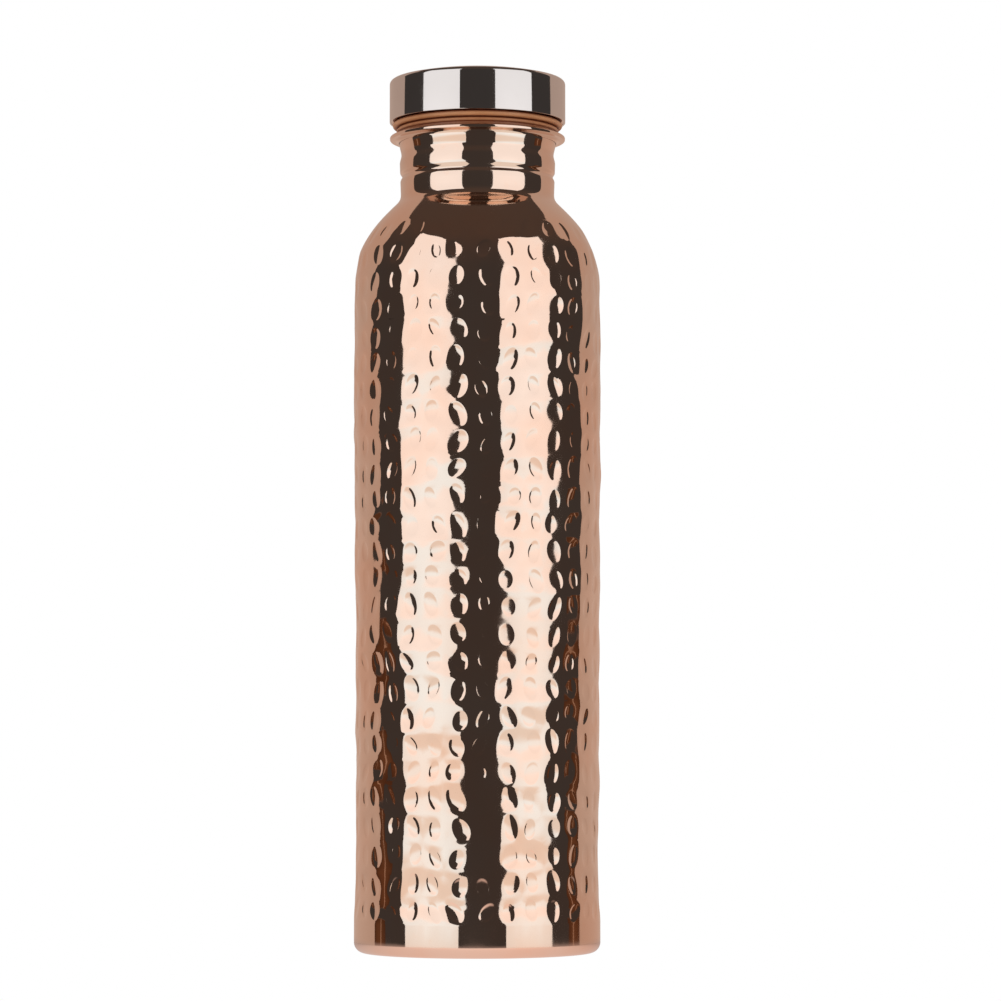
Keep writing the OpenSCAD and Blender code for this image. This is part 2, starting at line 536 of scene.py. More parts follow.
def arc(cx: float, cz: float, r: float, start: float, end: float, steps: int) -> list[Point]:
    """Points of an arc in the (radius, height) plane.

    Args:
        cx: Radius of its centre.
        cz: Height of its centre.
        r: Its own radius.
        start: First angle in degrees.
        end: Last angle in degrees.
        steps: Number of steps.

    Returns:
        The points, ends included.
    """
    angles = np.radians(np.linspace(start, end, steps + 1))
    return [(cx + r * math.cos(a), cz + r * math.sin(a)) for a in angles]


def bezier(p0: Point, p1: Point, p2: Point, p3: Point, steps: int) -> list[Point]:
    """Points of a cubic curve.

    Args:
        p0: Its start.
        p1: Handle of its start.
        p2: Handle of its end.
        p3: Its end.
        steps: Number of steps.

    Returns:
        The points, ends included.
    """
    t = np.linspace(0.0, 1.0, steps + 1)[:, None]
    s = 1 - t
    ends = [np.array(p) for p in (p0, p1, p2, p3)]
    points = s**3 * ends[0] + 3 * s * s * t * ends[1] + 3 * s * t * t * ends[2] + t**3 * ends[3]
    return [tuple(map(float, p)) for p in points]


def inset(points: list[Point], thickness: float) -> list[Point]:
    """The outline moved inwards along its own normals.

    Args:
        points: The outline, from its low end to its high end.
        thickness: How far it's moved.

    Returns:
        The moved outline.
    """
    p = np.array(points)
    d = np.gradient(p, axis=0)
    d /= np.linalg.norm(d, axis=1)[:, None]
    moved = p + thickness * np.stack([-d[:, 1], d[:, 0]], axis=1)
    return [tuple(map(float, q)) for q in moved]


def turned_mesh(name: str, outline: list[Point], segments: int = 320) -> bpy.types.Mesh:
    """Turns a closed outline round the bottle's axis.

    Args:
        name: The mesh's name.
        outline: Points in mm, upwards on the outside and downwards on the inside. Where the
            first or last one is on the axis, the mesh has a pole there, and otherwise it closes
            on itself.
        segments: Number of steps round the axis.

    Returns:
        The mesh, in metres.
    """
    turn = np.linspace(0.0, FULL_TURN, segments, endpoint=False)
    verts: list[tuple[float, float, float]] = []
    rings: list[list[int]] = []
    for r, z in outline:
        if r < ON_AXIS:
            rings.append([len(verts)])
            verts.append((0.0, 0.0, z * MM))
        else:
            rings.append(list(range(len(verts), len(verts) + segments)))
            verts += [(r * MM * math.cos(a), r * MM * math.sin(a), z * MM) for a in turn]
    pairs = list(zip(rings, rings[1:]))
    if len(rings[0]) > 1 or len(rings[-1]) > 1:
        pairs.append((rings[-1], rings[0]))
    faces: list[tuple[int, ...]] = []
    for low, high in pairs:
        for i in range(segments):
            k = (i + 1) % segments
            if len(low) == 1 and len(high) > 1:
                faces.append((low[0], high[k], high[i]))
            elif len(high) == 1 and len(low) > 1:
                faces.append((low[i], low[k], high[0]))
            elif len(low) > 1:
                faces.append((low[i], low[k], high[k], high[i]))
    return solid_mesh(name, verts, faces)


def solid_mesh(name: str, verts: list[Any], faces: list[Any]) -> bpy.types.Mesh:
    """A mesh from its points and faces, shaded smooth between its corners.

    Args:
        name: The mesh's name.
        verts: Points in metres.
        faces: The points of each face, by their places in verts.

    Returns:
        The mesh.
    """
    mesh = bpy.data.meshes.new(name)
    mesh.from_pydata(verts, [], faces)
    mesh.validate()
    soften(mesh)
    return mesh


def soften(mesh: bpy.types.Mesh) -> None:
    """Shades a mesh smooth apart from its real corners.

    Args:
        mesh: The mesh.
    """
    mesh.shade_smooth()
    mesh.set_sharp_from_angle(angle=SHARP_EDGE)
    mesh.update()


def add_piece(name: str, mesh: bpy.types.Mesh, finish: bpy.types.Material) -> bpy.types.Object:
    """Links a mesh to the scene under one finish.

    Args:
        name: The piece's name.
        mesh: Its mesh, already in place.
        finish: Its material.

    Returns:
        The piece.
    """
    piece = bpy.data.objects.new(name, mesh)
    bpy.context.scene.collection.objects.link(piece)
    mesh.materials.clear()
    mesh.materials.append(finish)
    return piece


def turned_piece(name: str, outline: list[Point], finish: bpy.types.Material) -> bpy.types.Object:
    """Turns a closed outline and links it to the scene under one finish.

    Args:
        name: The piece's name.
        outline: Its outline in mm, as turned_mesh takes it.
        finish: Its material.

    Returns:
        The piece.
    """
    return add_piece(name, turned_mesh(name, outline), finish)


def helper_curve(name: str, points: list[tuple[float, ...]], closed: bool) -> bpy.types.Object:
    """A curve that only a geometry tree reads.

    Args:
        name: The curve's name.
        points: Its points in mm.
        closed: Whether it runs back to its start.

    Returns:
        The curve's object, in metres.
    """
    curve = bpy.data.curves.new(name, "CURVE")
    curve.dimensions = "3D"
    spline = curve.splines.new("POLY")
    spline.points.add(len(points) - 1)
    for point, (x, y, z) in zip(spline.points, points):
        point.co = (x * MM, y * MM, z * MM, 1.0)
    spline.use_cyclic_u = closed
    helper = bpy.data.objects.new(name, curve)
    bpy.context.scene.collection.objects.link(helper)
    return helper


def outline_curve(name: str, points: list[Point]) -> bpy.types.Object:
    """An open helper curve through an outline's radii and heights, in the (x, z) plane."""
    return helper_curve(name, [(r, 0.0, z) for r, z in points], False)


def new_tree(name: str, inputs: dict[str, str], output: str) -> tuple[bpy.types.NodeTree, Graph]:
    """Makes a geometry tree with named inputs and one output.

    Args:
        name: The tree's name.
        inputs: Kind of each input's socket, by the input's name.
        output: Name of the output.

    Returns:
        The tree and the graph of its nodes.
    """
    tree = bpy.data.node_groups.new(name, "GeometryNodeTree")
    tree.is_modifier = True
    for title, kind in inputs.items():
        tree.interface.new_socket(
            name=title, in_out="INPUT", socket_type="NodeSocket" + kind
        )
    tree.interface.new_socket(name=output, in_out="OUTPUT", socket_type="NodeSocketGeometry")
    return tree, Graph(tree)


def round_axis(g: Graph, radius: Field, angle: Field, height: Field) -> Field:
    """A place round the bottle's axis.

    Args:
        g: The graph.
        radius: Its distance from the axis.
        angle: Its angle in radians.
        height: Its height.

    Returns:
        The place.
    """
    return g.vector(radius * angle.math("COSINE"), radius * angle.math("SINE"), height)


def end_tree(g: Graph, given: Made, shape: Field, output: str) -> None:
    """Ends a geometry tree with real geometry that wears the tree's finish.

    Args:
        g: The tree's graph.
        given: The tree's inputs, with one named Finish.
        shape: The geometry so far.
        output: Name of the tree's output.
    """
    real = g.add("GeometryNodeRealizeInstances", {}, {"Geometry": shape})
    dress = {"Geometry": real["Geometry"], "Material": given["Finish"]}
    dressed = g.add("GeometryNodeSetMaterial", {}, dress)
    g.add("NodeGroupOutput", {}, {output: dressed["Geometry"]})


def run_tree(
    name: str, tree: bpy.types.NodeTree, inputs: dict[str, Any], helpers: list[bpy.types.Object]
) -> bpy.types.Mesh:
    """Evaluates a geometry tree to a plain mesh and removes its modifier and helpers.

    Args:
        name: Name of the mesh.
        tree: The tree.
        inputs: Values of its inputs, by their names.
        helpers: Objects that only the tree reads.

    Returns:
        The mesh.
    """
    seed_mesh = bpy.data.meshes.new(name + "_seed")
    carrier = bpy.data.objects.new(name + "_carrier", seed_mesh)
    bpy.context.scene.collection.objects.link(carrier)
    modifier = carrier.modifiers.new(name, "NODES")
    modifier.node_group = tree
    sockets = {s.name: s.identifier for s in tree.interface.items_tree if s.in_out == "INPUT"}
    for title, value in inputs.items():
        modifier[sockets[title]] = value
    graph = bpy.context.evaluated_depsgraph_get()
    mesh = bpy.data.meshes.new_from_object(
        carrier.evaluated_get(graph), preserve_all_data_layers=True, depsgraph=graph
    )
    mesh.name = name
    carrier.modifiers.remove(modifier)
    bpy.data.objects.remove(carrier)
    for helper in helpers:
        bpy.data.objects.remove(helper)
    return mesh


# ---- Bottle ---------------------------------------------------------------------


@dataclass(frozen=True)
class Roll:
    """A groove rolled into the neck."""

    centre: float
    below: float
    above: float
    depth: float
    bend: float = 0.25

    def at(self, z: float) -> float:
        """Depth at a height: flat at the middle and the ends, with straight flanks between.

        Args:
            z: The height.

        Returns:
            The depth.
        """
        t = abs(z - self.centre) / (self.below if z < self.centre else self.above)
        steep = 1 / (1 - self.bend)
        if t >= 1:
            return 0.0
        if t < self.bend:
            return self.depth * (1 - steep * t * t / (2 * self.bend))
        if t < 1 - self.bend:
            return self.depth * (1 - steep * (t - self.bend / 2))
        return self.depth * (steep * (1 - t) ** 2 / (2 * self.bend))


@dataclass
class HammeredShell:
    """Drum, shoulder and neck spun in one sheet, with hammer marks on the drum and shoulder."""

    sheet: float = 0.7
    foot_r: float = 35.4
    foot_z: float = 9.0
    foot_narrow: float = 8.0
    drum_low_r: float = 34.85
    drum_r: float = 35.7
    low_z: float = 3.15
    shoulder_z: float = 188.0
    shoulder_rise: Point = (0.15, 15.0)
    shoulder_handle: Point = (31.75, 208.25)
    shoulder_end: Point = (23.8, 215.9)
    fillet_handles: tuple[Point, Point] = ((22.8, 216.9), (22.3, 217.7))
    fillet_rise: float = 0.6
    neck_low_r: float = 22.3
    neck_top_r: float = 22.85
    neck_low_z: float = 218.6
    neck_top_z: float = 235.0
    waist: Roll = Roll(230.7, 2.5, 3.6, 0.55)
    groove: Roll = Roll(224.3, 1.4, 1.3, 0.6)
    step_down: float = 1.0
    tube_r: float = 21.8
    mouth_r: float = 21.1
    tube_top_z: float = 248.65
    columns: int = 31
    rows: int = 26
    cell_quads: int = 10
    cell_edge: float = 0.9
    shoulder_steps: int = 100
    shoulder_share: float = 0.70
    drum_steps: int = 60
    mark_half_width: float = 2.1
    mark_half_height: float = 2.95
    mark_depth: float = 0.2
    outer_ring: float = 0.8
    ring_power: float = 0.36
    ring_reach: float = 1.1
    bowl_share: Range = (0.66, 1.09)
    size_range: Range = (0.84, 1.1)
    lean_range: Range = (-0.28, 0.28)
    drift_range: Range = (-1.0, 1.0)
    depth_range: Range = (0.4, 1.15)
    dent_range: Range = (0.5, 1.2)
    drift_across: float = 0.85
    drift_up: float = 0.3
    wander: float = 2.0
    wander_scale: float = 55.0
    dent: float = 0.1
    undulation: float = 0.75
    undulation_scale: float = 68.0
    end_fade: float = 0.035
    seed: int = 11

    def neck_r(self, z: float) -> float:
        """Radius of the rolled neck at a height.

        Args:
            z: The height.

        Returns:
            The radius.
        """
        t = (z - self.neck_low_z) / (self.neck_top_z - self.neck_low_z)
        plain = self.neck_low_r + (self.neck_top_r - self.neck_low_r) * t
        return plain - self.waist.at(z) - self.groove.at(z)

    def outlines(self) -> tuple[list[Point], list[Point]]:
        """The sheet's outline in two parts that meet at their ends.

        Returns:
            The hammered part, and the plain part from there over the lip and down the inside
            to its start.
        """
        rise_r, rise_z = self.shoulder_rise
        shoulder = bezier(
            (self.drum_r, self.shoulder_z),
            (self.drum_r + rise_r, self.shoulder_z + rise_z),
            self.shoulder_handle,
            self.shoulder_end,
            self.shoulder_steps,
        )
        cut = round(self.shoulder_steps * self.shoulder_share)
        foot_end = self.foot_z + self.foot_narrow
        middle = self.foot_z + self.foot_narrow / 2
        foot = bezier(
            (self.foot_r, self.foot_z),
            (self.foot_r, middle),
            (self.drum_low_r, middle),
            (self.drum_low_r, foot_end),
            24,
        )
        rise = (self.drum_r - self.drum_low_r) / (self.shoulder_z - foot_end)
        drum = [
            (self.drum_low_r + (z - foot_end) * rise, z)
            for z in np.linspace(foot_end, self.shoulder_z, self.drum_steps)[1:]
        ]
        hammered = foot + drum + shoulder[1 : cut + 1]
        end_z = self.neck_low_z + self.fillet_rise
        fillet_end = (self.neck_r(end_z), end_z)
        fillet = bezier(self.shoulder_end, *self.fillet_handles, fillet_end, 7)
        neck = [(self.neck_r(z), z) for z in NECK_HEIGHTS]
        outer = shoulder[cut :: 6][:-1] + fillet + neck
        inner_neck = inset(shoulder[::14] + fillet[1::3] + neck[::4], self.sheet)
        plain = (
            outer
            + [(self.neck_top_r, self.neck_top_z), (self.tube_r, self.neck_top_z)]
            + [(self.tube_r, self.tube_top_z), (self.mouth_r, self.tube_top_z)]
            + [(self.mouth_r, self.neck_top_z - self.step_down)]
            + inner_neck[::-1]
            + [(self.drum_low_r - self.sheet, foot_end), (self.foot_r - self.sheet, self.foot_z)]
            + [(self.foot_r - self.sheet, self.low_z), (self.foot_r, self.low_z)]
            + [(self.foot_r, self.foot_z)]
        )
        return hammered, plain

    def tree(self) -> bpy.types.NodeTree:
        """Geometry tree that hammers an unrolled sheet and wraps it on the outline.

        Returns:
            The tree.
        """
        kinds = {
            "Hammered Outline": "Object",
            "Plain Outline": "Object",
            "Columns": "Int",
            "Rows": "Int",
            "Cell Quads": "Int",
            "Half Width": "Float",
            "Half Height": "Float",
            "Depth": "Float",
            "Drift Across": "Float",
            "Drift Up": "Float",
            "Wander": "Float",
            "Dent": "Float",
            "Undulation": "Float",
            "Drum Radius": "Float",
            "Outline Length": "Float",
            "Seed": "Int",
            "Finish": "Material",
        }
        tree, g = new_tree("hammered_sheet", kinds, "Sheet")
        given = g.add("NodeGroupInput")
        hammered = self._hammered_part(g, given)
        plain = self._plain_part(g, given)
        both = g.add("GeometryNodeJoinGeometry", {}, {"Geometry": [hammered, plain]})
        seam = {"Geometry": both["Geometry"], "Distance": SEAM_GAP}
        closed = g.add("GeometryNodeMergeByDistance", {}, seam)
        end_tree(g, given, closed["Geometry"], "Sheet")
        return tree

    def _grid(self, g: Graph, across: Any, up: Any) -> tuple[Field, Field, Field]:
        """An unrolled sheet one unit wide and high.

        Args:
            g: The graph.
            across: Vertices across.
            up: Vertices upwards.

        Returns:
            The sheet, and each point's share across and up.
        """
        sheet = g.add(
            "GeometryNodeMeshGrid",
            {},
            {"Size X": 1.0, "Size Y": 1.0, "Vertices X": across, "Vertices Y": up},
        )
        place = g.split(g.add("GeometryNodeInputPosition")["Position"])
        return sheet["Mesh"], place["X"] + 0.5, place["Y"] + 0.5

    def _wrapped(self, g: Graph, sheet: Field, radius: Field, turn: Field, height: Field) -> Field:
        """Wraps the sheet round the bottle's axis.

        Args:
            g: The graph.
            sheet: The sheet.
            radius: Each point's radius.
            turn: Its share of a full turn.
            height: Its height.

        Returns:
            The wrapped sheet.
        """
        place = round_axis(g, radius, turn * FULL_TURN, height)
        wrap = {"Geometry": sheet, "Position": place}
        return g.add("GeometryNodeSetPosition", {}, wrap)["Geometry"]

    def _random(self, g: Graph, given: Made, cell: Field, span: Range, salt: int) -> Field:
        """A number of its own for each cell.

        Args:
            g: The graph.
            given: The tree's inputs.
            cell: The cell's number.
            span: Lowest and highest value.
            salt: Added to the seed.

        Returns:
            The number.
        """
        low, high = span
        draw = {"Min": low, "Max": high, "ID": cell, "Seed": given["Seed"] + salt}
        return g.add("FunctionNodeRandomValue", {"data_type": "FLOAT"}, draw)["Value"]

    def _hammered_part(self, g: Graph, given: Made) -> Field:
        """The drum and shoulder, with one hammer mark in each cell of the sheet.

        Args:
            g: The graph.
            given: The tree's inputs.

        Returns:
            The geometry.
        """
        quads, columns, rows = given["Cell Quads"], given["Columns"], given["Rows"]
        drum_r = given["Drum Radius"]
        girth = drum_r * FULL_TURN
        cell_w = girth / columns
        cell_h = given["Outline Length"] / rows
        sheet, u, v = self._grid(g, columns * quads + 1, rows * quads + 1)
        cu, cv = u * columns, v * rows
        column = (cu + CELL_NUDGE).math("FLOOR").math("MINIMUM", columns - 1)
        row = (cv + CELL_NUDGE).math("FLOOR").math("MINIMUM", rows - 1)
        a, b = cu - column - 0.5, cv - row - 0.5
        cell = column + row * columns
        # Each cell's square rings of quads become the rings of one oval mark
        ring = abs(a).math("MAXIMUM", abs(b)) * 2
        inside = 1 - ring.math("GREATER_THAN", self.cell_edge)
        reach = (a * a + b * b + TINY_AREA).math("SQRT")
        rho = (ring / self.outer_ring) ** self.ring_power * self.ring_reach
        size = self._random(g, given, cell, self.size_range, 1)
        lean = self._random(g, given, cell, self.lean_range, 2)
        shift_x = self._random(g, given, cell, self.drift_range, 3) * given["Drift Across"]
        shift_y = self._random(g, given, cell, self.drift_range, 4) * given["Drift Up"]
        up = b / reach * rho * size * given["Half Height"]
        across = a / reach * rho * size * given["Half Width"] + up * lean + shift_x
        x = g.maths("MULTIPLY_ADD", across - a * cell_w, inside, a * cell_w)
        y = g.maths("MULTIPLY_ADD", up + shift_y - b * cell_h, inside, b * cell_h)
        flat_turn = (column + 0.5 + x / cell_w) / columns
        flat_share = (row + 0.5 + y / cell_h) / rows
        up_sheet = flat_share * given["Outline Length"]
        place = round_axis(g, drum_r, flat_turn * FULL_TURN, up_sheet)
        # The rows and columns wander a little, but the sheet's ends stay where they are
        top = flat_share.smooth(1.0 - self.end_fade, 1.0)
        ends = flat_share.smooth(0.0, self.end_fade) * (1 - top)
        wander = given["Wander"] * ends * 2
        drift = {"Vector": place, "Scale": self.wander_scale, "Detail": 0.0}
        aside = g.split(g.add("ShaderNodeTexNoise", {}, drift)["Color"])
        turn = flat_turn + (aside["X"] - 0.5) * wander / girth
        share = flat_share + (aside["Y"] - 0.5) * wander / given["Outline Length"]
        outline = g.add("GeometryNodeObjectInfo", {}, {"Object": given["Hammered Outline"]})
        sample = g.add(
            "GeometryNodeSampleCurve",
            {"mode": "FACTOR"},
            {"Curves": outline["Geometry"], "Factor": share},
        )
        on, along = g.split(sample["Position"]), g.split(sample["Tangent"])
        depth = self._random(g, given, cell, self.depth_range, 5) * given["Depth"]
        bowl = (1 - rho.smooth(*self.bowl_share)) * depth * inside
        swell_x = (x / cell_w * math.pi).math("COSINE")
        swell_y = (y / cell_h * math.pi).math("COSINE")
        broad = (swell_x * swell_y) ** 2
        pull = self._random(g, given, cell, self.dent_range, 6) * given["Dent"]
        wavy = (g.noise(place, self.undulation_scale, 1.0) - 0.5) * given["Undulation"] * 2
        rise = wavy * ends - bowl - broad * pull
        radius = on["X"] + rise * along["Z"]
        height = on["Z"] - rise * along["X"]
        return self._wrapped(g, sheet, radius, turn, height)

    def _plain_part(self, g: Graph, given: Made) -> Field:
        """The neck, the tube, the inner wall and the hidden foot of the sheet.

        Args:
            g: The graph.
            given: The tree's inputs.

        Returns:
            The geometry.
        """
        outline = g.add("GeometryNodeObjectInfo", {}, {"Object": given["Plain Outline"]})
        count = g.add(
            "GeometryNodeAttributeDomainSize",
            {"component": "CURVE"},
            {"Geometry": outline["Geometry"]},
        )["Point Count"]
        sheet, u, v = self._grid(g, given["Columns"] * given["Cell Quads"] + 1, count)
        sample = g.add(
            "GeometryNodeSampleIndex",
            {"data_type": "FLOAT_VECTOR", "domain": "POINT"},
            {
                "Geometry": outline["Geometry"],
                "Value": g.add("GeometryNodeInputPosition")["Position"],
                "Index": (v * (count - 1)).math("ROUND"),
            },
        )
        on = g.split(sample["Value"])
        return self._wrapped(g, sheet, on["X"], u, on["Z"])

    def build(self, finish: bpy.types.Material) -> bpy.types.Object:
        """Makes the shell and hangs it on the bottle body.

        Args:
            finish: The hammered metal.

        Returns:
            The piece.
        """
        hammered, plain = self.outlines()
        steps = np.diff(np.array(hammered), axis=0)
        length = float(np.linalg.norm(steps, axis=1).sum())
        helpers = [outline_curve("hammered_line", hammered), outline_curve("plain_line", plain)]
        inputs = {
            "Hammered Outline": helpers[0],
            "Plain Outline": helpers[1],
            "Columns": self.columns,
            "Rows": self.rows,
            "Cell Quads": self.cell_quads,
            "Half Width": self.mark_half_width * MM,
            "Half Height": self.mark_half_height * MM,
            "Depth": self.mark_depth * MM,
            "Drift Across": self.drift_across * MM,
            "Drift Up": self.drift_up * MM,
            "Wander": self.wander * MM,
            "Dent": self.dent * MM,
            "Undulation": self.undulation * MM,
            "Drum Radius": self.drum_r * MM,
            "Outline Length": length * MM,
            "Seed": self.seed,
            "Finish": finish,
        }
        mesh = run_tree("hammered_shell", self.tree(), inputs, helpers)
        soften(mesh)
        piece = add_piece("hammered_shell", mesh, finish)
        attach(piece, "bottle")
        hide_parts("body_shell")
        return piece


@dataclass
class BaseCup:
    """Pressed base, whose corner carries the drum's edge and whose skirt stands inside the drum."""

    radius: float = 35.4
    corner: float = 3.0
    ledge_z: float = 3.14
    skirt_r: float = 34.65
    skirt_in_r: float = 34.05
    skirt_top_z: float = 9.0
    ring_width: float = 2.6
    dish: float = 2.4
    dish_t: float = 0.6
    dish_run: float = 3.0
    bend_flat: float = 0.3
    bend_run: float = 0.25
    bend_rise: float = 0.2

    def build(self, finish: bpy.types.Material) -> bpy.types.Object:
        """Makes the cup and hangs it on the bottle body.

        Args:
            finish: The turned metal.

        Returns:
            The piece.
        """
        standing = self.radius - self.corner
        rise = standing - self.ring_width
        slope = rise - self.dish_run
        top_bend, low_bend = (slope, self.dish), (rise, 0.0)
        top_start = (slope - self.bend_flat, self.dish)
        top_end = (slope + self.bend_run, self.dish - self.bend_rise)
        low_start, low_end = (rise - self.bend_run, self.bend_rise), (rise + self.bend_flat, 0.0)
        under = [(0.0, self.dish), (slope / 2, self.dish), top_start]
        under += bezier(top_start, top_bend, top_bend, top_end, 4)
        under += bezier(low_start, low_bend, low_bend, low_end, 4)
        inner_r = self.skirt_in_r - standing
        outline = (
            under
            + arc(standing, self.corner, self.corner, -90, 0, 20)
            + [(self.radius, self.ledge_z), (self.skirt_r, self.ledge_z)]
            + [(self.skirt_r, self.skirt_top_z), (self.skirt_in_r, self.skirt_top_z)]
            + arc(standing, self.corner, inner_r, 0, -90, 8)
            + [(rise + self.bend_run, self.corner - inner_r)]
            + [(slope + self.bend_run, self.dish + self.dish_t), (0.0, self.dish + self.dish_t)]
        )
        piece = turned_piece("base_cup_pressed", outline, finish)
        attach(piece, "bottle")
        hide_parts("base_cup")
        return piece


def thread_tree() -> bpy.types.NodeTree:
    """Geometry tree of a rib on a right-handed helix with ends that fade into the wall.

    Returns:
        The tree.
    """
    kinds = {
        "Section": "Object",
        "Steps Per Turn": "Int",
        "Turns": "Float",
        "Pitch": "Float",
        "Radius": "Float",
        "Start Height": "Float",
        "Start Angle": "Float",
        "Fade": "Float",
        "Finish": "Material",
    }
    tree, g = new_tree("thread_rib", kinds, "Rib")
    given = g.add("NodeGroupInput")
    ends = {"Start": (0.0, 0.0, 0.0), "End": (1.0, 0.0, 0.0)}
    line = g.add("GeometryNodeCurvePrimitiveLine", {}, ends)
    fine = g.add(
        "GeometryNodeResampleCurve",
        {"mode": "COUNT"},
        {"Curve": line["Curve"], "Count": given["Turns"] * given["Steps Per Turn"]},
    )
    share = g.add("GeometryNodeSplineParameter")["Factor"]
    turned = share * given["Turns"]
    angle = turned * FULL_TURN + given["Start Angle"]
    height = turned * given["Pitch"] + given["Start Height"]
    place = round_axis(g, given["Radius"], angle, height)
    helix = g.add("GeometryNodeSetPosition", {}, {"Geometry": fine["Curve"], "Position": place})
    upright = g.add("GeometryNodeSetCurveNormal", {"mode": "Z_UP"}, {"Curve": helix["Geometry"]})
    near_end = turned.math("MINIMUM", given["Turns"] - turned)
    fade = (near_end / given["Fade"] + RIB_END).math("MINIMUM", 1.0)
    sized = g.add("GeometryNodeSetCurveRadius", {}, {"Curve": upright["Curve"], "Radius": fade})
    section = g.add("GeometryNodeObjectInfo", {}, {"Object": given["Section"]})
    sweep = {"Curve": sized["Curve"], "Profile Curve": section["Geometry"], "Fill Caps": True}
    swept = g.add("GeometryNodeCurveToMesh", {}, sweep)
    end_tree(g, given, swept["Mesh"], "Rib")
    return tree


@dataclass
class ThreadRib:
    """Rolled thread of a collar or a liner, from a root buried in its wall to its crest."""

    root_r: float
    crest_r: float
    start_degrees: float
    start_z: float = 242.4
    pitch: float = 4.0
    turns: float = 1.35
    root_width: float = 1.6
    crest_width: float = 0.9
    flank_share: float = 0.6
    fade_turns: float = 0.1
    steps_per_turn: int = 120

    def mesh(self, name: str, finish: bpy.types.Material) -> bpy.types.Mesh:
        """Sweeps the rib.

        Args:
            name: Name of the mesh.
            finish: The metal.

        Returns:
            The mesh.
        """
        rise = self.crest_r - self.root_r
        half_root, half_crest = self.root_width / 2, self.crest_width / 2
        flank = self.flank_share
        half_flank = (1 - flank) * half_root + flank * half_crest
        crest = bezier(
            (flank * rise, -half_flank),
            (rise, -half_crest),
            (rise, half_crest),
            (flank * rise, half_flank),
            8,
        )
        corners = [(0.0, -half_root), *crest, (0.0, half_root)]
        if rise < 0:
            corners = corners[::-1]
        flat = [(out, up, 0.0) for out, up in corners]
        section = helper_curve("rib_section", flat, True)
        inputs = {
            "Section": section,
            "Steps Per Turn": self.steps_per_turn,
            "Turns": self.turns,
            "Pitch": self.pitch * MM,
            "Radius": self.root_r * MM,
            "Start Height": self.start_z * MM,
            "Start Angle": math.radians(self.start_degrees),
            "Fade": self.fade_turns,
            "Finish": finish,
        }
        return run_tree(name, thread_tree(), inputs, [section])


def joined(name: str, meshes: list[bpy.types.Mesh]) -> bpy.types.Mesh:
    """One mesh from several.

    Args:
        name: The new mesh's name.
        meshes: Meshes in the same frame.

    Returns:
        The mesh.
    """
    verts: list[Any] = []
    faces: list[Any] = []
    for mesh in meshes:
        start = len(verts)
        verts += [tuple(v.co) for v in mesh.vertices]
        faces += [tuple(i + start for i in p.vertices) for p in mesh.polygons]
    return solid_mesh(name, verts, faces)


